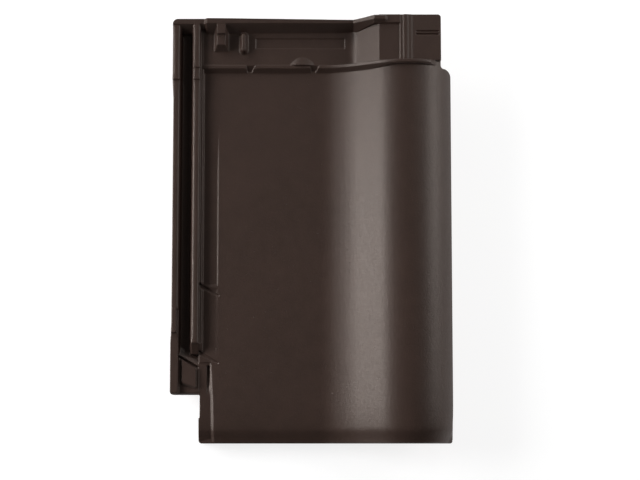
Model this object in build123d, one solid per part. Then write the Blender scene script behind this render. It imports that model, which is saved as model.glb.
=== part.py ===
from build123d import *
from math import acos, cos, pi, radians, sin, sqrt, tan
import os

# Pressed clay roof tile: a flat pan, a hollow roll on the right, water locks on the left and at the head.
# It lies face up on a level floor, on its two nibs and on the skirt under its foot.
# +X points to the roll, +Y up the roof slope to the head, +Z out of the weather face.
# The origin is on the floor under the middle of the tile. Lengths are in millimetres.

# Overall sizes
tile_length = 475
cover_width = 267
side_lap = 45
clay = 13
rest_height = 12
corner_radius = 3.5
head_corner_radius = 6
overrun = 5

# Roll
roll_height = 38
valley_radius = 62
valley_angle = radians(16.5)
flank_radius = 112
crest_radius = 60
cover_radius = 55
lip_clearance = 2
lip_height = 7.85
rise_angle = radians(32)

# Foot
slow_fall = 0.9
slow_fall_length = 46
dip_fall = 4.4
dip_length = 18
dip_turn_share = 0.8
foot_steps = 4
foot_edge_radius = 3
skirt_depth = 12
skirt_tip = 9
skirt_past_pan = 15
roll_rib_height = 5
strip_width = 14
strip_taper = 1.7
strip_length = 89
strip_depth = 2
strip_end_depth = 1
strip_left_depth = 0.3
strip_groove_width = 3.2
strip_groove_depth = 4.5
strip_groove_reach = 44
strip_groove_length = 42
side_inset = 1.2
side_inset_gap = 28

# Side lock
outer_rim_width = 8.3
channel_width = 14.8
inner_rib_width = 8.3
ledge_width = 3.3
ledge_fall = 0.5
wall_lean = 2
outer_rim_height = 8
inner_rib_height = 9
ledge_height = 4
channel_depth = 5
moulded_radius = 1.5
crown_radius = 2.6
lock_foot_gap = 53.5
rib_foot_gap = 110
rib_end_length = 12
rib_end_height = 1
bed_ramp = 10
crest_gap = 85
crest_slant = 13
lip_gap = 62
lip_slant = 5
plate_height = 2.5
plate_lean = 2
plate_left_gap = 4.6
plate_right_gap = 3
plate_groove_width = 2.8
plate_groove_depth = 2.5
lock_end_slope = 2.5
low_rim_height = 5
raised_length = 69
raised_height = 2
rim_waist_gap = 122
rim_waist_length = 26
rim_waist_depth = 1.4
rim_inset = 1.2
rim_inset_ramp = 22
ledge_notch_gaps = (172, 97)
ledge_notch_width = 6
ledge_notch_length = 22
ledge_notch_slant = 10
ledge_notch_tip = 2
ledge_notch_depth = 1

# Covered strip of the pan beside the lock
recess_width = 17
recess_gap = 176
recess_length = 130
recess_fade = 50
recess_depth = 0.8
recess_wall_lean = 2.4
lower_recess_gap = 101
lower_recess_length = 68
lower_recess_fade = 3
lower_recess_depth = 0.5
lower_recess_lean = 5

# Weather rib
rib_height = 4.2
rib_top_width = 3.3
rib_slope_length = 4.9
rib_steep_length = 1.7
rib_steep_reach = 15
rib_steep_turn = 33
rib_right_gap = 17
rib_fade = 6
gap_width = 10
gap_lean = 4
gap_slant_share = 0.4
gap_floor_length = 6.2
first_gap_reach = 52.4
second_gap_reach = 9.1

# Head
head_zone = 52.2
head_step = 3.6
head_clay = 11
head_flank_angle = radians(44)
head_valley_radius = 14
plateau_height = 27
plateau_width = 68.7
flange_width = 11.8
shoulder_gap = 59.5
shoulder_radius = 8
notch_radius = 3
sharp_step_reach = 46
sharp_step_pitch = 3.8
sharp_step_height = 1.5
sharp_step_lean = 0.8
soft_step_reach = 37.8
soft_step_pitch = 4.2
soft_step_height = 0.9
soft_step_lean = 2.4
score_gap = 18.5
score_pitch = 3
score_width = 1.6
score_depth = 1.5
score_reach = 28
score_length = 26

# Head rim
head_rim_height = 11.4
head_rim_width = 6
head_rim_slope = 9.4
head_rim_setback = 2
rim_step_reach = 4.6
rim_step_run = 2.5
rim_bend_reach = 28.3
rim_climb_length = 23
rim_over_plateau = 5
rim_flat_length = 12
rim_end_run = 4
rim_root = 6
pocket_strip_width = 9.3
pocket_strip_height = 2
pocket_strip_lean = 2.5

# Lugs, dome and bare panel of the head
lug_root = 2
lug_reach = 14.6
lug_width = 17.4
lug_length = 32
lug_height = 8
lug_lean = 4
lug_front = 8
lug_block_length = 12
lug_block_height = 11
slim_lug_reach = 42.6
slim_lug_width = 11.8
slim_lug_length = 27.5
slim_lug_height = 7
slim_lug_gap = 13
slim_lug_taper = 25
dome_gap = 10
dome_radius = 15
dome_height = 3
dome_setback = 5.5
panel_reach = 61.6
panel_right_gap = 4
panel_width = 12
panel_gap = 21
panel_depth = 0.8

# Underside
nib_width = 34
nib_length = 18
nib_lean = 4
nib_inset = 28
nib_bearing_gap = 38
cover_rib_width = 6
cover_rib_clearance = 5

# Levels and lines that follow from the sizes
tile_width = cover_width + side_lap
left = -tile_width / 2
right = tile_width / 2
foot = -tile_length / 2
head = tile_length / 2
under = rest_height
pan = under + clay
up_slope = (0, 1, 0)
across = (1, 0, 0)
upwards = (0, 0, 1)

channel_left = left + outer_rim_width
channel_start = channel_left + wall_lean
rib_left = channel_left + channel_width
body_left = rib_left + inner_rib_width
ledge_right = body_left + ledge_width + ledge_fall
channel_floor = pan - channel_depth
outer_rim_top = pan + outer_rim_height
plate_top = pan + plate_height
foot_fall = slow_fall + dip_fall
lock_foot = foot + lock_foot_gap
rib_foot = foot + rib_foot_gap

curve_height = valley_radius * (1 - cos(valley_angle))
curve_height += flank_radius * (cos(valley_angle) - cos(rise_angle))
curve_height += crest_radius * (1 - cos(rise_angle))
curve_run = valley_radius * sin(valley_angle)
curve_run += flank_radius * (sin(rise_angle) - sin(valley_angle))
curve_run += crest_radius * sin(rise_angle)
rise_flank = (roll_height - curve_height) / sin(rise_angle)
cover_angle = acos((lip_clearance + lip_height - roll_height + cover_radius) / cover_radius)
cover_centre = pan + roll_height - cover_radius
crest_x = right - cover_radius * sin(cover_angle)
roll_x = crest_x - curve_run - rise_flank * cos(rise_angle)
lip = pan + lip_clearance
top = pan + roll_height

head_foot = head - head_zone
head_floor = pan + head_step
rib_top_foot = head_foot - rib_top_width
rib_slope_foot = rib_top_foot - rib_slope_length
second_gap_x = roll_x - second_gap_reach
head_right = right - flange_width
shoulder = head - shoulder_gap
plateau = head_floor + plateau_height
plateau_right = plateau + 2 * (sharp_step_height - soft_step_height)
crease_x = head_right - plateau_width
first_step_x = head_right - sharp_step_reach
head_flank = (plateau_height - head_valley_radius * (1 - cos(head_flank_angle))) / sin(head_flank_angle)
head_bend_x = crease_x - head_valley_radius * sin(head_flank_angle) - head_flank * cos(head_flank_angle)


# Flat faces and simple solids
def outline(points, y):
    """Closed face across the tile at y, through (x, z) points."""
    return Face(Wire.make_polygon([(x, y, z) for x, z in points]))


def along(points, x):
    """Closed face along the tile at x, through (y, z) points."""
    return Face(Wire.make_polygon([(x, y, z) for y, z in points]))


def level(points, z):
    """Closed level face at height z, through (x, y) points."""
    return Face(Wire.make_polygon([(x, y, z) for x, y in points]))


def rounded(face, corners, radius):
    """The cross face with its vertices nearest to the (x, z) corners rounded."""
    near = [min(face.vertices(), key=lambda v: abs(v.X - x) + abs(v.Z - z)) for x, z in corners]
    return face.fillet_2d(radius, near)


def lengthwise(face, start, end):
    """Prism of a cross face from start to end along the tile."""
    return extrude(face, amount=end - start, dir=up_slope)


def block(x_range, y_range, z_range):
    """Upright block between pairs of limits."""
    sizes = [high - low for low, high in (x_range, y_range, z_range)]
    middles = [(high + low) / 2 for low, high in (x_range, y_range, z_range)]
    return Pos(*middles) * Box(*sizes)


def rectangle(x_range, y_range, z):
    """Corners of a level rectangle at height z."""
    (x_low, x_high), (y_low, y_high) = x_range, y_range
    return [(x_low, y_low, z), (x_high, y_low, z), (x_high, y_high, z), (x_low, y_high, z)]


def between(low, high):
    """Block with flat sides between two level loops of points."""
    loops = [low, high]
    for place in range(len(low)):
        loops.append([low[place - 1], low[place], high[place], high[place - 1]])
    return Part() + Solid(Shell([Face(Wire.make_polygon(loop)) for loop in loops]))


def tapered(bottom, lid):
    """Block with flat sides between two level rectangles, each (x_range, y_range, z)."""
    return between(rectangle(*bottom), rectangle(*lid))


def corner_cut(x, y, radius, to_x, to_y):
    """What a rounded upright corner at (x, y) loses; to_x and to_y point out of the tile."""
    centre_x = x - to_x * radius
    centre_y = y - to_y * radius
    x_range = sorted((centre_x, x + to_x * overrun))
    y_range = sorted((centre_y, y + to_y * overrun))
    z_range = (-overrun, top + overrun)
    post = Pos(centre_x, centre_y, sum(z_range) / 2) * Cylinder(radius, z_range[1] - z_range[0] + overrun)
    return block(x_range, y_range, z_range) - post


# Pan and roll
def rise_line(offset):
    """Pan, rise and crest, moved out of the weather face by offset."""
    def low(angle):
        reach = valley_radius - offset
        return roll_x + reach * sin(angle), pan + valley_radius - reach * cos(angle)

    def flank(angle):
        reach = flank_radius - offset
        shift = flank_radius - valley_radius
        centre_x = roll_x - shift * sin(valley_angle)
        centre_z = pan + valley_radius + shift * cos(valley_angle)
        return centre_x + reach * sin(angle), centre_z - reach * cos(angle)

    def high(angle):
        reach = crest_radius + offset
        return crest_x + reach * sin(angle), top - crest_radius + reach * cos(angle)

    return [
        [(body_left, pan + offset), low(0)],
        [low(0), low(valley_angle / 2), low(valley_angle)],
        [low(valley_angle), flank((valley_angle + rise_angle) / 2), flank(rise_angle)],
        [flank(rise_angle), high(-rise_angle)],
        [high(-rise_angle), high(-rise_angle / 2), high(0)],
    ]


def cover_line(offset, end_angle):
    """Fall of the roll from its crest to the right edge, moved out by offset."""
    def arc(angle):
        reach = cover_radius + offset
        return crest_x + reach * sin(angle), cover_centre + reach * cos(angle)

    return [[arc(0), arc(end_angle / 2), arc(end_angle)]]


def curve(stretch, y):
    """Edge at y through a stretch's two points, or an arc through its three."""
    points = [(x, y, z) for x, z in stretch]
    if len(points) == 2:
        return Edge.make_line(*points)
    return Edge.make_three_point_arc(*points)


def shell_section(y, upper_offset, lower_offset):
    """Section of pan and roll at y, between two offsets measured out of the weather face."""
    upper = rise_line(upper_offset) + cover_line(upper_offset, cover_angle)
    lower_angle = acos((lip - cover_centre) / (cover_radius + lower_offset))
    lower = rise_line(lower_offset) + cover_line(lower_offset, lower_angle)
    sides = [
        [upper[-1][-1], (right, lip)],
        [(right, lip), lower[-1][-1]],
        [lower[0][0], upper[0][0]],
    ]
    return Face(Wire([curve(stretch, y) for stretch in upper + sides + lower]))


def foot_line():
    """Distance from the foot and fall of the weather face: a slow fall, a dip and the round edge."""
    shares = [step / foot_steps for step in range(foot_steps + 1)]
    slow_run = slow_fall_length - dip_length
    dip_run = dip_length - foot_edge_radius
    dip_turn = dip_turn_share * pi
    dip_scale = dip_fall / (1 - cos(dip_turn))
    slow = [(slow_fall_length - share * slow_run, slow_fall * share ** 2) for share in shares[:-1]]
    dip_falls = [slow_fall + dip_scale * (1 - cos(share * dip_turn)) for share in shares]
    dip = [(dip_length - share * dip_run, fall) for share, fall in zip(shares, dip_falls)]
    turns = [share * pi / 2 for share in shares[1:]]
    edge = [(foot_edge_radius * (1 - sin(a)), foot_fall + foot_edge_radius * (1 - cos(a))) for a in turns]
    return slow + dip + edge


def shell():
    """Pan and roll from the foot to the weather rib."""
    start = foot + slow_fall_length
    stations = [shell_section(foot + reach, -fall, -clay) for reach, fall in foot_line()]
    return lengthwise(shell_section(start, 0, -clay), start, head_foot) + loft(stations, ruled=True)


def weather_rib():
    """Low rib across pan and roll, sloped towards the foot, with two gaps that let water through."""
    root = -clay / 2
    top_face = shell_section(rib_top_foot, rib_height, root)
    rib = loft([shell_section(rib_slope_foot, 0, root), top_face], ruled=True)
    rib += lengthwise(top_face, rib_top_foot, head_foot)
    fade_foot = rib_slope_foot - overrun
    rib -= lengthwise(rib_fade_section(fade_foot), fade_foot, head_foot + overrun)
    rib -= rib_front_cut()
    for start in (body_left + first_gap_reach, second_gap_x):
        rib -= rib_gap(start)
    return rib


def rib_front_cut():
    """What the slope of the weather rib loses on the roll, where its front is short and steep."""
    steep_x = crest_x - rib_steep_reach
    steep_y = rib_top_foot - rib_steep_length
    points = [
        (steep_x - rib_steep_turn, rib_slope_foot),
        (right, rib_slope_foot),
        (right, steep_y),
        (steep_x, steep_y),
    ]
    return extrude(level(points, under), amount=top + rib_height, dir=upwards)


def cover_level(x):
    """Height of the weather face at x, on the right side of the roll."""
    return cover_centre + sqrt(cover_radius ** 2 - (x - crest_x) ** 2)


def rib_fade_section(y):
    """What the weather rib loses at its right end, where it sinks into the roll."""
    end = right - rib_right_gap
    rise = cover_level(end - rib_fade) + rib_height - cover_level(end)
    points = [
        (end, cover_level(end)),
        (end - 2 * rib_fade, cover_level(end) + 2 * rise),
        (right + overrun, cover_level(end) + 2 * rise),
        (right + overrun, pan - overrun),
        (end, pan - overrun),
    ]
    return outline(points, y)


def rib_gap(start):
    """Gap in the weather rib: a sloped floor from the head to the pan, and leaning ends."""
    south = rib_slope_foot - overrun
    north = head_foot + overrun
    slant = gap_slant_share * (north - south)
    ceiling = head_floor + rib_height + overrun
    floor_rise = head_step / gap_floor_length
    floor_south = head_floor - floor_rise * (head_foot - south)
    floor_north = head_floor + floor_rise * overrun

    def edge(y, z):
        lean = gap_lean * (z - pan) / (ceiling - pan)
        end = start + gap_width + lean - slant * (north - y) / (north - south)
        return [(start - lean, y, z), (end, y, z)]

    loops = []
    for south_level, north_level in ((floor_south, floor_north), (ceiling, ceiling)):
        loops.append(edge(south, south_level) + edge(north, north_level)[::-1])
    return between(*loops)


# Side lock
def lock_section(y, rim, rib):
    """Section of the side lock with the given heights of outer rim and inner rib above the pan."""
    rib_top = pan + rib
    ledge_top = pan + ledge_height
    points = [
        (left, under),
        (left, pan + rim),
        (channel_left, pan + rim),
        (channel_start, channel_floor),
        (rib_left - wall_lean, channel_floor),
        (rib_left, rib_top),
        (body_left, rib_top),
        (body_left, ledge_top),
        (body_left + ledge_width, ledge_top),
        (ledge_right, pan),
        (ledge_right, under),
    ]
    crowns = [points[place] for place in (1, 2, 5, 6)]
    soft = [points[place] for place in (3, 4, 8)]
    return rounded(rounded(outline(points, y), soft, moulded_radius), crowns, crown_radius)


def open_lock_section(y):
    """Section of the side lock past the end of its inner rib."""
    points = [
        (left, under),
        (left, outer_rim_top),
        (channel_left, outer_rim_top),
        (channel_start, channel_floor),
        (body_left, channel_floor),
        (body_left, under),
    ]
    return rounded(rounded(outline(points, y), points[3:4], moulded_radius), points[1:3], crown_radius)


def rib_end():
    """Sloped end of the inner rib and its ledge."""
    def face(y, rib, ledge):
        points = [
            (rib_left - wall_lean, channel_floor),
            (rib_left, pan + rib),
            (body_left, pan + rib),
            (body_left + ledge_width, pan + ledge),
            (ledge_right, pan),
            (ledge_right, under),
            (rib_left - wall_lean, under),
        ]
        return outline(points, y)

    high = face(rib_foot, inner_rib_height - crown_radius / 2, ledge_height)
    low = face(rib_foot - rib_end_length, rib_end_height, rib_end_height / 2)
    return loft([high, low], ruled=True)


def side_lock():
    """Outer rim, channel and inner rib along the left side, stepping up towards the head."""
    lock = lengthwise(open_lock_section(lock_foot), lock_foot, rib_foot) + rib_end()
    raised_rim = outer_rim_height + raised_height
    raised_rib = inner_rib_height + raised_height
    stretches = [
        (rib_foot, outer_rim_height, inner_rib_height),
        (head - raised_length, raised_rim, raised_rim),
        (rib_top_foot, raised_rim, raised_rib),
    ]
    for start, rim, rib in stretches:
        lock += lengthwise(lock_section(start, rim, rib), start, head)
    return lock


def drain():
    """Open end of the channel: a ramp up to a bed level with the pan, and a slanted plate on the bed."""
    crest = foot + crest_gap + crest_slant
    ramp = [(crest + bed_ramp, channel_floor), (crest, pan), (crest, under), (crest + bed_ramp, under)]
    crest_line = [(channel_left, crest), (body_left, crest - crest_slant)]
    end_line = [(body_left, lock_foot), (channel_left, lock_foot)]
    bed = extrude(level(crest_line + end_line, under), amount=pan - under, dir=upwards)
    return [channel_bar(ramp, crest_slant), bed, drain_plate()]


def drain_plate():
    """Raised plate on the bed, with a leaning front and a gap on each side."""
    plate_left = channel_left + plate_left_gap
    plate_right = body_left - plate_right_gap
    crest = foot + crest_gap + crest_slant - plate_groove_width
    lip = foot + lip_gap + lip_slant
    loops = []
    for lean, z in ((plate_lean, pan), (0, plate_top)):
        loops.append([
            (plate_left, crest - plate_left_gap * crest_slant / (body_left - channel_left), z),
            (plate_right, crest - crest_slant, z),
            (plate_right, lip - lip_slant - lean, z),
            (plate_left, lip - lean, z),
        ])
    return between(*loops)


def drain_groove():
    """Groove between the crest of the channel's ramp and the plate."""
    crest = foot + crest_gap + crest_slant
    bottom = pan - plate_groove_depth
    points = [(crest, plate_top), (crest, bottom), (crest - plate_groove_width, bottom)]
    points.append((crest - plate_groove_width, plate_top))
    return channel_bar(points, crest_slant)


def channel_bar(points, slant):
    """Bar across the channel at a slant, with a section of (y, z) points at its left end."""
    reach = body_left - channel_left
    length = sqrt(reach ** 2 + slant ** 2)
    return extrude(along(points, channel_left), amount=length, dir=(reach, -slant, 0))


def lock_end():
    """Slope along the foot end of the lock, on the outer rim and on the bed."""
    wedges = []
    for x_range, z in (((left, channel_start), pan + low_rim_height), ((channel_start, body_left), pan)):
        points = [
            (lock_foot, z - lock_end_slope),
            (lock_foot + lock_end_slope, z),
            (lock_foot, z),
        ]
        wedges.append(extrude(along(points, x_range[0]), amount=x_range[1] - x_range[0], dir=across))
    return wedges


def rim_waist():
    """Narrow stretch of the outer rim, and the step down to the low rim at its foot end."""
    start = foot + rim_waist_gap
    bottom = pan + outer_rim_height / 2
    waist_x = (channel_left - rim_waist_depth, channel_start)
    waist = block(waist_x, (start, start + rim_waist_length), (bottom, outer_rim_top + overrun))
    low_z = (pan + low_rim_height, outer_rim_top + overrun)
    return [waist, block((left - overrun, channel_start), (lock_foot - overrun, start), low_z)]


def rim_side():
    """Shallow inset of the outer rim's side, from its waist to its raised stretch."""
    start = foot + rim_waist_gap - rim_inset_ramp / 2
    end = head - raised_length
    points = [
        (left, start),
        (left + rim_inset, start + rim_inset_ramp),
        (left + rim_inset, end - rim_inset_ramp),
        (left, end),
    ]
    return extrude(level(points, 0), amount=top, dir=upwards)


def ledge_notch(start):
    """Slanted notch across the ledge, where water leaves it."""
    far = body_left + ledge_notch_length
    points = [
        (body_left, start + ledge_notch_width),
        (body_left, start),
        (far, start - ledge_notch_slant),
        (far, start - ledge_notch_slant + ledge_notch_tip),
    ]
    return extrude(level(points, pan - ledge_notch_depth), amount=inner_rib_height, dir=upwards)


def recess(start, length, fade, depth, lean):
    """Shallow strip of the pan beside the lock, which the next tile's roll covers."""
    end = start + length
    edge = ledge_right + recess_width
    low = ((ledge_right, edge - lean / 2), (start, end), pan - depth)
    high = ((ledge_right, edge + lean / 2), (start - 2 * lean, end + 2 * fade), pan + depth)
    return tapered(low, high)


def foot_strip():
    """Gutter along the left side of the foot, with a gentle left side and a steeper right one."""
    stations = [(strip_length, strip_end_depth, 0)]
    stations += [(reach, strip_depth, fall) for reach, fall in foot_line()]
    stations.append((-overrun, strip_depth, stations[-1][2]))
    faces = []
    for reach, depth, fall in stations:
        edge = body_left + strip_width - strip_taper * max(reach, 0) / strip_length
        points = [
            (body_left - overrun, pan - strip_left_depth - fall),
            (edge, pan - depth - fall),
            (edge + (depth + fall + overrun) / tan(rise_angle), pan + overrun),
            (body_left - overrun, pan + overrun),
        ]
        faces.append(outline(points, foot + reach))
    return loft(faces, ruled=True)


def strip_groove():
    """Groove in the upper part of the gutter, against its steep side, which runs out towards the foot."""
    start = foot + strip_groove_reach
    end = start + strip_groove_length
    bottom = pan - strip_groove_depth
    points = [(start, pan - strip_end_depth), (end, bottom), (end, pan + overrun), (start, pan + overrun)]
    x = body_left + strip_width - strip_taper - strip_groove_width
    return extrude(along(points, x), amount=strip_groove_width, dir=across)


def foot_side_cut():
    """Set-back stretch of the foot's left side, below the end of the lock."""
    return block(
        (body_left - overrun, body_left + side_inset), (foot + side_inset_gap, lock_foot), (-overrun, top))


# Head
def plateau_line():
    """Top of the plateau: two sharp steps up to the right, then two soft ones down."""
    points = [(crease_x, plateau)]
    kinds = [
        (sharp_step_reach, sharp_step_pitch, sharp_step_height, sharp_step_lean),
        (soft_step_reach, soft_step_pitch, -soft_step_height, soft_step_lean),
    ]
    for reach, pitch, height, lean in kinds:
        for number in range(2):
            x = head_right - reach + number * pitch
            z = points[-1][1]
            points += [(x, z), (x + lean, z + height)]
    points.append((head_right, plateau_right))
    return points


def head_section(y):
    """Section of the head: flat floor, steep flank and stepped plateau."""
    def low(angle, offset):
        reach = head_valley_radius + offset
        return head_bend_x + reach * sin(angle), head_floor + head_valley_radius - reach * cos(angle)

    half = head_flank_angle / 2
    ceiling = plateau - head_clay
    straight = plateau_line() + [(head_right, ceiling), (crease_x + head_clay * tan(half), ceiling)]
    stretches = [
        [(body_left, head_floor), low(0, 0)],
        [low(0, 0), low(half, 0), low(head_flank_angle, 0)],
        [low(head_flank_angle, 0), straight[0]],
        [straight[-1], low(head_flank_angle, head_clay)],
        [low(head_flank_angle, head_clay), low(half, head_clay), low(0, head_clay)],
        [low(0, head_clay), (body_left, head_floor - head_clay)],
        [(body_left, head_floor - head_clay), (body_left, head_floor)],
    ]
    stretches += [list(pair) for pair in zip(straight, straight[1:])]
    return Face(Wire([curve(stretch, y) for stretch in stretches]))


def head_shell():
    """Head of the tile, which the next tile up the slope covers, and its joint to the roll."""
    joint = lengthwise(head_section(rib_top_foot), rib_top_foot, head_foot)
    joint &= lengthwise(shell_section(rib_top_foot, 0, -clay - head_clay), rib_top_foot, head_foot)
    return lengthwise(head_section(head_foot), head_foot, head) + joint


def score_lines():
    """Two shallow score lines across the right end of the plateau."""
    start = head_right - score_reach
    x_range = (start, start + score_length)
    z_range = (plateau_right - score_depth, plateau_right + overrun)
    ends = [head - score_gap - number * score_pitch for number in range(2)]
    return [block(x_range, (end - score_width, end), z_range) for end in ends]


def head_rim():
    """Rim along the head edge: low over the channel, higher over the pan, climbing onto the plateau."""
    low = pan + inner_rib_height + raised_height - head_rim_height
    step_x = body_left + rim_step_reach
    bend_x = crease_x - rim_bend_reach
    flat_x = bend_x + rim_climb_length
    end_x = flat_x + rim_flat_length
    stations = [
        (left, low, head_rim_height, 0),
        (step_x, low, head_rim_height, 0),
        (step_x + rim_step_run, head_floor, head_rim_height, 0),
        (bend_x, head_floor - head_rim_setback / 2, head_rim_height, head_rim_setback),
        (flat_x, plateau, rim_over_plateau, head_rim_setback),
        (end_x, plateau, rim_over_plateau, head_rim_setback),
        (end_x + rim_end_run, plateau - rim_over_plateau, rim_over_plateau, head_rim_setback),
    ]
    faces = []
    for x, base, height, setback in stations:
        wall_foot = head - head_rim_width - head_rim_slope * height / head_rim_height
        points = [
            (wall_foot, base),
            (head - head_rim_width, base + height),
            (head - setback, base + height),
            (head, base),
            (head, base - rim_root),
            (wall_foot, base - rim_root),
        ]
        faces.append(along(points, x))
    return loft(faces, ruled=True)


def pocket_strip():
    """Raised strip of the plateau along the head edge, as far as the steps."""
    x_range = (crease_x, first_step_x + sharp_step_lean)
    start = head - pocket_strip_width
    low = (x_range, (start - pocket_strip_lean, head), plateau - pocket_strip_height)
    high = (x_range, (start, head), plateau + pocket_strip_height)
    return tapered(low, high)


def stout_lug():
    """Stout lug with a higher block behind it, against the head rim."""
    start = body_left + lug_reach
    back = head - head_rim_width
    front = back - lug_length
    wide = (start, start + lug_width)
    narrow = (start + lug_lean, start + lug_width - lug_lean)
    low = (wide, (front, back), head_floor - lug_root)
    high = (narrow, (front + lug_front, back), head_floor + lug_height)
    rear_levels = (head_floor, head_floor + lug_block_height)
    rear = block(narrow, (back - lug_block_length, back), rear_levels)
    return tapered(low, high) + rear


def slim_lug():
    """Slim lug with round ends, beside the stout one."""
    x = body_left + slim_lug_reach + slim_lug_width / 2
    y = head - slim_lug_gap - slim_lug_length / 2
    plan = Pos(x, y, head_floor - lug_root) * Rot(Z=90) * SlotOverall(slim_lug_length, slim_lug_width)
    return extrude(plan, amount=slim_lug_height + lug_root, dir=upwards, taper=slim_lug_taper)


def dome():
    """Low round boss behind the weather rib."""
    ball = (dome_radius ** 2 + dome_height ** 2) / (2 * dome_height)
    x = second_gap_x - dome_gap
    cap = Pos(x, head_foot - dome_setback, head_floor + dome_height - ball) * Rot(Y=90) * Sphere(ball)
    z_range = (head_floor - lug_root, head_floor + dome_height + overrun)
    return cap & block((x - ball, x + ball), (head_foot, head), z_range)


def panel():
    """Shallow bare panel in the floor of the head."""
    x_range = (body_left + panel_reach, head_bend_x - panel_right_gap)
    back = head - panel_gap
    return block(x_range, (back - panel_width, back), (head_floor - panel_depth, head_floor + panel_depth))


def shoulder_cut():
    """What the right side loses at the head, from the shoulder up."""
    past = right + overrun
    bend_x = right - shoulder_radius
    bend_y = shoulder - shoulder_radius
    beyond = head + overrun
    edges = [
        Edge.make_line((head_right, shoulder, 0), (bend_x, shoulder, 0)),
        Edge.make_tangent_arc((bend_x, shoulder, 0), across, (right, bend_y, 0)),
        Edge.make_line((right, bend_y, 0), (past, bend_y, 0)),
        Edge.make_line((past, bend_y, 0), (past, beyond, 0)),
        Edge.make_line((past, beyond, 0), (head_right, beyond, 0)),
        Edge.make_line((head_right, beyond, 0), (head_right, shoulder, 0)),
    ]
    plan = Face(Wire(edges))
    notch = min(plan.vertices(), key=lambda v: abs(v.X - head_right) + abs(v.Y - shoulder))
    return extrude(plan.fillet_2d(notch_radius, [notch]), amount=top + overrun, dir=upwards)


# Underside
def nibs():
    """Two hanging nibs under the head, upright on the side that bears on the batten."""
    bearing = head - nib_bearing_gap
    root = head_floor - head_clay / 2
    back = bearing + nib_length
    points = [(bearing, 0), (back - nib_lean, 0), (back, root), (bearing, root)]
    starts = (body_left + nib_inset, head_bend_x - nib_inset - nib_width)
    return [extrude(along(points, x), amount=nib_width, dir=across) for x in starts]


def foot_skirt():
    """Skirt under the foot of the pan, and the lower rib that goes on under the roll."""
    root = under + clay / 2
    points = [(foot, 0), (foot + skirt_tip, 0), (foot + skirt_depth, root), (foot, root)]
    skirt = extrude(along(points, body_left), amount=roll_x + skirt_past_pan - body_left, dir=across)
    rib = shell_section(foot, -foot_fall - foot_edge_radius, -clay - roll_rib_height)
    return skirt + lengthwise(rib, foot, foot + skirt_tip)


def cover_rib():
    """Rib under the roll that hangs into the next tile's channel."""
    x = channel_left + cover_width + channel_width / 2
    half = cover_rib_width / 2
    root = cover_centre + sqrt((cover_radius - clay / 2) ** 2 - (x - crest_x + half) ** 2)
    y_range = (lock_foot, shoulder - shoulder_radius)
    return block((x - half, x + half), y_range, (pan + cover_rib_clearance, root))


def tile():
    """The whole tile in one fired piece."""
    body = shell() + side_lock()
    body -= rim_waist() + [ledge_notch(foot + gap) for gap in ledge_notch_gaps]
    body -= rim_side()
    body -= recess(foot + recess_gap, recess_length, recess_fade, recess_depth, recess_wall_lean)
    lower = (lower_recess_length, lower_recess_fade, lower_recess_depth, lower_recess_lean)
    body -= recess(foot + lower_recess_gap, *lower)
    body -= foot_strip()
    body -= strip_groove()
    body += drain()
    body -= [drain_groove()] + lock_end()
    body -= foot_side_cut()
    body += weather_rib()
    body += head_shell()
    body -= score_lines()
    body += head_rim()
    body += pocket_strip()
    body += stout_lug()
    body += slim_lug()
    body += dome()
    body -= panel()
    body += nibs()
    body += foot_skirt()
    body += cover_rib()
    body -= shoulder_cut()
    corners = [
        (head_right, head, corner_radius, 1, 1),
        (left, head, head_corner_radius, -1, 1),
        (left, lock_foot, corner_radius, -1, -1),
        (body_left, foot, corner_radius, -1, -1),
        (right, foot, corner_radius, 1, -1),
    ]
    for corner in corners:
        body -= corner_cut(*corner)
    return body


os.makedirs("parts", exist_ok=True)
export_step(tile(), "parts/tile.step")
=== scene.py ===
from math import radians

import bmesh
import bpy
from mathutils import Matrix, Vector
from mathutils.kdtree import KDTree


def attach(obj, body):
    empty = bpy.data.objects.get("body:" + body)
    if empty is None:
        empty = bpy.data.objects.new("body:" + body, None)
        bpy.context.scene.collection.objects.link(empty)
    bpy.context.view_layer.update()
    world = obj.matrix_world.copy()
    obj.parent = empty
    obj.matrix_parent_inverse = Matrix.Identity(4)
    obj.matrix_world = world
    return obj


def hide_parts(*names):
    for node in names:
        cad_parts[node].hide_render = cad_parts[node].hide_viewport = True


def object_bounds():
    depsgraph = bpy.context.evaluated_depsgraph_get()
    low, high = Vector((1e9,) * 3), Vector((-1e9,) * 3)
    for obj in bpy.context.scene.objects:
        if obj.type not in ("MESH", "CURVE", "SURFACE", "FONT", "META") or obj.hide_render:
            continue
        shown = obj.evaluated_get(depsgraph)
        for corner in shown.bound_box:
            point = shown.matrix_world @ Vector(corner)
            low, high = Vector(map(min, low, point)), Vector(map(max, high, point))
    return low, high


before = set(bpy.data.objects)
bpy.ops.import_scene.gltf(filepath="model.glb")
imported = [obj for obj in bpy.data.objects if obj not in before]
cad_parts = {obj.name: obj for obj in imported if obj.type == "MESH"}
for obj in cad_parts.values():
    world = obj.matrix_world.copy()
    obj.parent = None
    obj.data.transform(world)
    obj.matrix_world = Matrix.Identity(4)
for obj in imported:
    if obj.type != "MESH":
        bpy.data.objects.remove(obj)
cad_low, cad_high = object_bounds()
middle = (cad_low + cad_high) / 2
size = cad_high - cad_low
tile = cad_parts["tile"]

# Where the photograph puts the tile, in pixels of its frame
photo_width = 640
photo_height = 480
tile_pixel_x = 311.3
tile_pixel_y = 228.4
pixel_size = 0.0011105

# Camera
camera_height = 2.0
sensor_width = 36.0
clip_distance = 100.0

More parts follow.
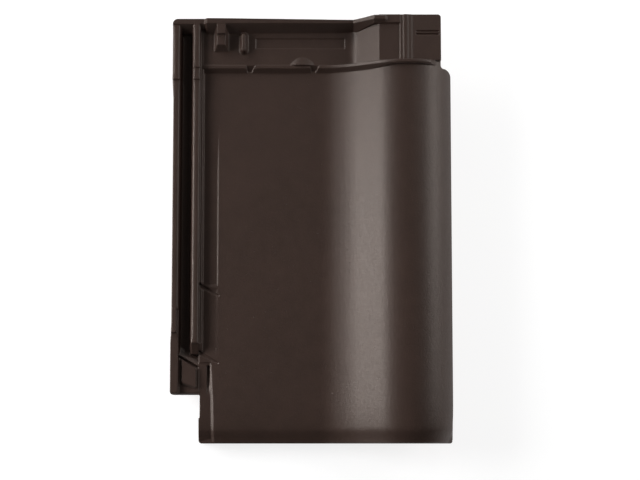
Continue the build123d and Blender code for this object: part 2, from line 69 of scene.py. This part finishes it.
# Skin of the tile: its even mesh, how it is smoothed, and where its sharp edges keep their place
voxel_size = 0.00055
edge_smoothing_share = 0.5
edge_smoothing_passes = 3
face_smoothing_share = 0.8
face_smoothing_passes = 60
sharp_angle = radians(14)
weld_distance = 0.000002
edge_point_gap = 0.001
edge_keep = 0.0025
edge_reach = 0.009
weight_levels = 10
triangle_limit = 180000

# Colours and gloss of the engobe and of the bare clay on the underside
engobe_dark = (0.027, 0.0149, 0.0113)
engobe_light = (0.041, 0.0231, 0.0179)
# Painted shade for creases and pinholes
engobe_painted_shade = (0.014, 0.0078, 0.0058)
# Pale colour of specks and of sharp edges, where it is partly worn engobe and partly painted highlight
engobe_pale_and_edge_highlight = (0.070, 0.044, 0.034)
bare_clay_dark = (0.27, 0.090, 0.042)
bare_clay_light = (0.38, 0.150, 0.075)
engobe_roughness = (0.43, 0.49)
bare_roughness = 0.85
specular_level = 0.45
specular_tint = (1.0, 0.905, 0.835)
underside_normal = (-0.35, -0.75)

# Lighter sharp edges, partly worn engobe and partly painted highlight, and painted shade in creases, by
# how far an edge stands out or a crease goes in
edge_highlight_and_wear_pointiness = (0.53, 0.62)
painted_shade_pointiness = (0.47, 0.40)
edge_highlight_and_wear_share = 0.55
painted_shade_share = 0.75

# Texture of the engobe: spots to the metre, and heights and radii in metres
cloud_scale = 9.0
mottle_scale = 70.0
peel_scale = 350.0
grain_scale = 1600.0
noise_detail = 4.0
noise_range = (0.35, 0.65)
mottling_shares = (0.30, 0.25, 0.45)
peel_relief = 0.0001
grain_relief = 0.0001
relief_unit = 1.0
pinhole_scale = 130.0
pinhole_radius = 0.0006
pinhole_relief = 0.00025
speck_scale = 300.0
speck_radius = 0.0005
speck_share = 0.7

# Ground: its reach, the glow and the matte grey that are seen, and the white that scatters light
ground_reach = 40.0
ground_glow = 0.82
ground_matte = 0.3
ground_scatter = 0.8

# Softboxes: name, place, aim, width, height, power and spread of the beam
narrow_spread = radians(60)
open_spread = radians(180)
roll_aim = (0.06, -0.24, 0.04)
tile_aim = tuple(middle)
softboxes = [
    ("left_softbox", (-1.25, 0.11, 0.60), roll_aim, 0.70, 0.50, 3.05, narrow_spread),
    ("head_left_softbox", (-0.95, 1.20, 0.55), tile_aim, 0.70, 0.40, 14.0, open_spread),
    ("head_right_softbox", (0.70, 1.00, 1.03), tile_aim, 0.60, 0.40, 3.6, open_spread),
    ("right_softbox", (1.20, 0.45, 0.62), tile_aim, 0.45, 0.40, 4.6, open_spread),
    ("foot_right_softbox", (1.20, 0.10, 0.55), tile_aim, 0.45, 0.40, 3.0, open_spread),
]

# Glow from overhead, which fades out above the horizon
sky_colour = (1.0, 0.97, 0.94)
sky_strength = 0.10
sky_edge = 0.3

# Pale backdrop that is seen above the horizon
backdrop_strength = ground_glow
backdrop_edge = (0.08, 0.20)

# Sockets of the mix node for colours, which share their names with other sockets of it
mix_share_socket = 0
mix_colour_sockets = (6, 7)
mix_result_socket = 2


# Shader helpers
def opaque(colour):
    """Colour with full cover."""
    return (*colour, 1.0)


def node(tree, kind, **settings):
    """New shader node with the given socket values or properties."""
    made = tree.nodes.new(kind)
    for name, value in settings.items():
        if name in made.inputs:
            made.inputs[name].default_value = value
        else:
            setattr(made, name, value)
    return made


def noise(tree, place, scale):
    """Even noise of about the given number of spots to the metre."""
    made = node(tree, "ShaderNodeTexNoise", Scale=scale, Detail=noise_detail)
    tree.links.new(place, made.inputs["Vector"])
    return made.outputs["Fac"]


def ranged(tree, value, low, high, to_low, to_high):
    """Value carried from one range into another, and kept inside it."""
    made = node(tree, "ShaderNodeMapRange")
    limits = {"From Min": low, "From Max": high, "To Min": to_low, "To Max": to_high}
    for name, limit in limits.items():
        made.inputs[name].default_value = limit
    tree.links.new(value, made.inputs["Value"])
    return made.outputs["Result"]


def spots(tree, place, scale, radius):
    """Scattered round spots, from one at their middles to none at their edges."""
    cells = node(tree, "ShaderNodeTexVoronoi", Scale=scale)
    tree.links.new(place, cells.inputs["Vector"])
    return ranged(tree, cells.outputs["Distance"], 0.0, radius * scale, 1.0, 0.0)


def combined(tree, operation, first, second):
    """Sum, product or other result of two values, which are sockets or numbers."""
    made = node(tree, "ShaderNodeMath", operation=operation)
    for place, value in enumerate((first, second)):
        if isinstance(value, bpy.types.NodeSocket):
            tree.links.new(value, made.inputs[place])
        else:
            made.inputs[place].default_value = value
    return made.outputs[0]


def weighted(tree, values, weights):
    """Sum of values, each times its weight."""
    total = 0.0
    for value, weight in zip(values, weights):
        total = combined(tree, "ADD", total, combined(tree, "MULTIPLY", value, weight))
    return total


def mixed(tree, share, first, second):
    """Colour between two colours, which are sockets or values."""
    made = node(tree, "ShaderNodeMix", data_type="RGBA")
    tree.links.new(share, made.inputs[mix_share_socket])
    for place, colour in zip(mix_colour_sockets, (first, second)):
        if isinstance(colour, bpy.types.NodeSocket):
            tree.links.new(colour, made.inputs[place])
        else:
            made.inputs[place].default_value = opaque(colour)
    return made.outputs[mix_result_socket]


def seen_rays(tree):
    """One for rays that show the background: to the camera, in gloss and through glass."""
    rays = node(tree, "ShaderNodeLightPath").outputs
    seen = combined(tree, "MAXIMUM", rays["Is Camera Ray"], rays["Is Glossy Ray"])
    return combined(tree, "MAXIMUM", seen, rays["Is Transmission Ray"])


# Materials
def engobe_colour(tree, contrast, mottle, specks, pinholes):
    """Mottled dark brown with pale specks, lighter on sharp edges as partly worn engobe and partly
    painted highlight, with painted shade in creases and pinholes.
    """
    pointiness = node(tree, "ShaderNodeNewGeometry").outputs["Pointiness"]
    # Masks for lighter sharp edges, partly worn engobe and partly painted highlight, and for painted
    # shade in creases
    edge_highlight_and_wear = ranged(tree, pointiness, *edge_highlight_and_wear_pointiness, 0.0, edge_highlight_and_wear_share)
    painted_crease_shade = ranged(tree, pointiness, *painted_shade_pointiness, 0.0, painted_shade_share)
    colour = mixed(tree, contrast, engobe_dark, engobe_light)
    colour = mixed(tree, combined(tree, "MULTIPLY", specks, speck_share), colour, engobe_pale_and_edge_highlight)
    # Painted shade in pinholes
    colour = mixed(tree, pinholes, colour, engobe_painted_shade)
    # Lighter sharp edges, partly worn engobe and partly painted highlight
    colour = mixed(tree, combined(tree, "MULTIPLY", edge_highlight_and_wear, mottle), colour, engobe_pale_and_edge_highlight)
    # Painted shade in creases
    return mixed(tree, painted_crease_shade, colour, engobe_painted_shade)


def underside(tree, normal):
    """One where the surface faces down, and none where it faces up or sideways."""
    parts = node(tree, "ShaderNodeSeparateXYZ")
    tree.links.new(normal, parts.inputs[0])
    return ranged(tree, parts.outputs["Z"], *underside_normal, 0.0, 1.0)


def engobe_material():
    """Dark satin engobe over the tile, with bare clay on the underside."""
    material = bpy.data.materials.new("engobe")
    material.use_nodes = True
    tree = material.node_tree
    shader = tree.nodes["Principled BSDF"]
    coordinates = node(tree, "ShaderNodeTexCoord")
    place = coordinates.outputs["Object"]
    scales = (cloud_scale, mottle_scale, grain_scale, peel_scale)
    cloud, mottle, grain, peel = (noise(tree, place, scale) for scale in scales)
    pinholes = spots(tree, place, pinhole_scale, pinhole_radius)
    specks = spots(tree, place, speck_scale, speck_radius)

    mottling = weighted(tree, (cloud, mottle, grain), mottling_shares)
    contrast = ranged(tree, mottling, *noise_range, 0.0, 1.0)
    engobe = engobe_colour(tree, contrast, mottle, specks, pinholes)
    clay = mixed(tree, contrast, bare_clay_dark, bare_clay_light)
    below = underside(tree, coordinates.outputs["Normal"])
    tree.links.new(mixed(tree, below, engobe, clay), shader.inputs["Base Color"])

    satin = ranged(tree, peel, *noise_range, *engobe_roughness)
    dull = combined(tree, "MULTIPLY", below, bare_roughness)
    tree.links.new(combined(tree, "MAXIMUM", satin, dull), shader.inputs["Roughness"])
    shader.inputs["Specular IOR Level"].default_value = specular_level
    shader.inputs["Specular Tint"].default_value = opaque(specular_tint)

    relief = weighted(tree, (grain, peel, pinholes), (grain_relief, peel_relief, -pinhole_relief))
    bump = node(tree, "ShaderNodeBump", Distance=relief_unit)
    tree.links.new(relief, bump.inputs["Height"])
    tree.links.new(bump.outputs["Normal"], shader.inputs["Normal"])
    return material


def floor_material():
    """Ground that looks white, keeps a soft shadow and scatters light back to the tile."""
    material = bpy.data.materials.new("ground")
    material.use_nodes = True
    tree = material.node_tree
    tree.nodes.remove(tree.nodes["Principled BSDF"])
    scatter = node(tree, "ShaderNodeBsdfDiffuse", Color=opaque((ground_scatter,) * 3))
    matte = node(tree, "ShaderNodeBsdfDiffuse", Color=opaque((ground_matte,) * 3))
    glow = node(tree, "ShaderNodeEmission", Strength=ground_glow)
    both = node(tree, "ShaderNodeAddShader")
    mix = node(tree, "ShaderNodeMixShader")
    tree.links.new(matte.outputs[0], both.inputs[0])
    tree.links.new(glow.outputs[0], both.inputs[1])
    tree.links.new(seen_rays(tree), mix.inputs["Fac"])
    tree.links.new(scatter.outputs[0], mix.inputs[1])
    tree.links.new(both.outputs[0], mix.inputs[2])
    tree.links.new(mix.outputs[0], tree.nodes["Material Output"].inputs["Surface"])
    return material


# Tile
def sharp_points(mesh):
    """Points along the sharp edges of a mesh, at even gaps."""
    shape = bmesh.new()
    shape.from_mesh(mesh)
    bmesh.ops.remove_doubles(shape, verts=shape.verts, dist=weld_distance)
    points = []
    for edge in shape.edges:
        if edge.calc_face_angle(sharp_angle) < sharp_angle:
            continue
        start, end = (corner.co for corner in edge.verts)
        count = int((end - start).length / edge_point_gap) + 1
        points += [start.lerp(end, step / count) for step in range(count + 1)]
    shape.free()
    return points


def group_open_faces(piece, points):
    """Vertex group that grows from none near the points to full on the open faces."""
    tree = KDTree(len(points))
    for index, point in enumerate(points):
        tree.insert(point, index)
    tree.balance()
    levels = [[] for level in range(weight_levels + 1)]
    for vertex in piece.data.vertices:
        gap = tree.find(vertex.co)[2]
        share = (gap - edge_keep) / (edge_reach - edge_keep)
        levels[round(weight_levels * min(max(share, 0), 1))].append(vertex.index)
    group = piece.vertex_groups.new(name="open_faces")
    for level, indices in enumerate(levels):
        group.add(indices, level / weight_levels, "REPLACE")
    return group.name


def applied(piece):
    """Puts the piece's modifiers into its mesh."""
    graph = bpy.context.evaluated_depsgraph_get()
    mesh = bpy.data.meshes.new_from_object(piece.evaluated_get(graph))
    piece.modifiers.clear()
    piece.data = mesh


def smooth(piece, share, passes, group=""):
    """Smooths the piece's mesh, all of it or a group of its vertices."""
    soften = piece.modifiers.new("smooth", "SMOOTH")
    soften.factor = share
    soften.iterations = passes
    soften.vertex_group = group
    applied(piece)


def fewer_triangles(piece):
    """Brings the piece's even mesh, whose faces all have four sides, down to the limit."""
    triangles = 2 * len(piece.data.polygons)
    thin = piece.modifiers.new("fewer_faces", "DECIMATE")
    thin.ratio = triangle_limit / triangles
    applied(piece)


def make_tile():
    """The tile with the soft edges that pressing, engobing and firing leave."""
    piece = bpy.data.objects.new("fired_tile", tile.data.copy())
    bpy.context.scene.collection.objects.link(piece)
    remesh = piece.modifiers.new("even_mesh", "REMESH")
    remesh.mode = "VOXEL"
    remesh.voxel_size = voxel_size
    applied(piece)
    group = group_open_faces(piece, sharp_points(tile.data))
    smooth(piece, face_smoothing_share, face_smoothing_passes, group)
    smooth(piece, edge_smoothing_share, edge_smoothing_passes)
    piece.vertex_groups.clear()
    fewer_triangles(piece)
    piece.data.shade_smooth()
    piece.data.materials.clear()
    piece.data.materials.append(engobe_material())
    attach(piece, "root")
    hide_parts("tile")


# Stage
def make_floor():
    """Level ground under the tile."""
    corners = [(x * ground_reach, y * ground_reach, 0) for x, y in ((-1, -1), (1, -1), (1, 1), (-1, 1))]
    mesh = bpy.data.meshes.new("ground")
    mesh.from_pydata(corners, [], [(0, 1, 2, 3)])
    ground = bpy.data.objects.new("ground", mesh)
    bpy.context.scene.collection.objects.link(ground)
    mesh.materials.append(floor_material())


def make_softbox(name, place, aim, width, height, power, spread):
    """Rectangular soft lamp at a place, turned towards its aim, with a wide or narrow beam."""
    lamp = bpy.data.lights.new(name, "AREA")
    lamp.shape = "RECTANGLE"
    lamp.size = width
    lamp.size_y = height
    lamp.energy = power
    lamp.spread = spread
    box = bpy.data.objects.new(name, lamp)
    bpy.context.scene.collection.objects.link(box)
    box.location = place
    box.rotation_mode = "QUATERNION"
    box.rotation_quaternion = (Vector(aim) - Vector(place)).to_track_quat("-Z", "Y")


def make_lights():
    """Softboxes on the left, on the right and beyond the head."""
    for softbox in softboxes:
        make_softbox(*softbox)


def make_world():
    """Weak glow from overhead, and a pale backdrop at the horizon that lights nothing."""
    world = bpy.data.worlds.new("studio")
    world.use_nodes = True
    tree = world.node_tree
    direction = node(tree, "ShaderNodeSeparateXYZ")
    tree.links.new(node(tree, "ShaderNodeTexCoord").outputs["Generated"], direction.inputs[0])
    glow = ranged(tree, direction.outputs["Z"], sky_edge, 1.0, 0.0, sky_strength)
    backdrop = ranged(tree, direction.outputs["Z"], *backdrop_edge, backdrop_strength, 0.0)
    backdrop = combined(tree, "MULTIPLY", backdrop, seen_rays(tree))
    background = tree.nodes["Background"]
    background.inputs["Color"].default_value = opaque(sky_colour)
    tree.links.new(combined(tree, "ADD", glow, backdrop), background.inputs["Strength"])
    bpy.context.scene.world = world


def make_camera():
    """Camera over the foot edge, looking down on the tile."""
    eye = Vector((middle.x, cad_low.y, camera_height))
    aim_x = (photo_width / 2 - tile_pixel_x) * pixel_size
    aim_y = (tile_pixel_y - photo_height / 2) * pixel_size
    target = Vector((middle.x + aim_x, middle.y + aim_y, size.z / 2))
    eye.x += aim_x
    data = bpy.data.cameras.new("camera")
    data.sensor_width = sensor_width
    data.lens = (target - eye).length / pixel_size * sensor_width / photo_width
    data.clip_end = clip_distance
    camera = bpy.data.objects.new("camera", data)
    bpy.context.scene.collection.objects.link(camera)
    camera.location = eye
    camera.rotation_mode = "QUATERNION"
    camera.rotation_quaternion = (target - eye).to_track_quat("-Z", "Y")
    bpy.context.scene.camera = camera


make_tile()
make_floor()
make_lights()
make_world()
make_camera()
bpy.context.scene.view_settings.view_transform = "Standard"
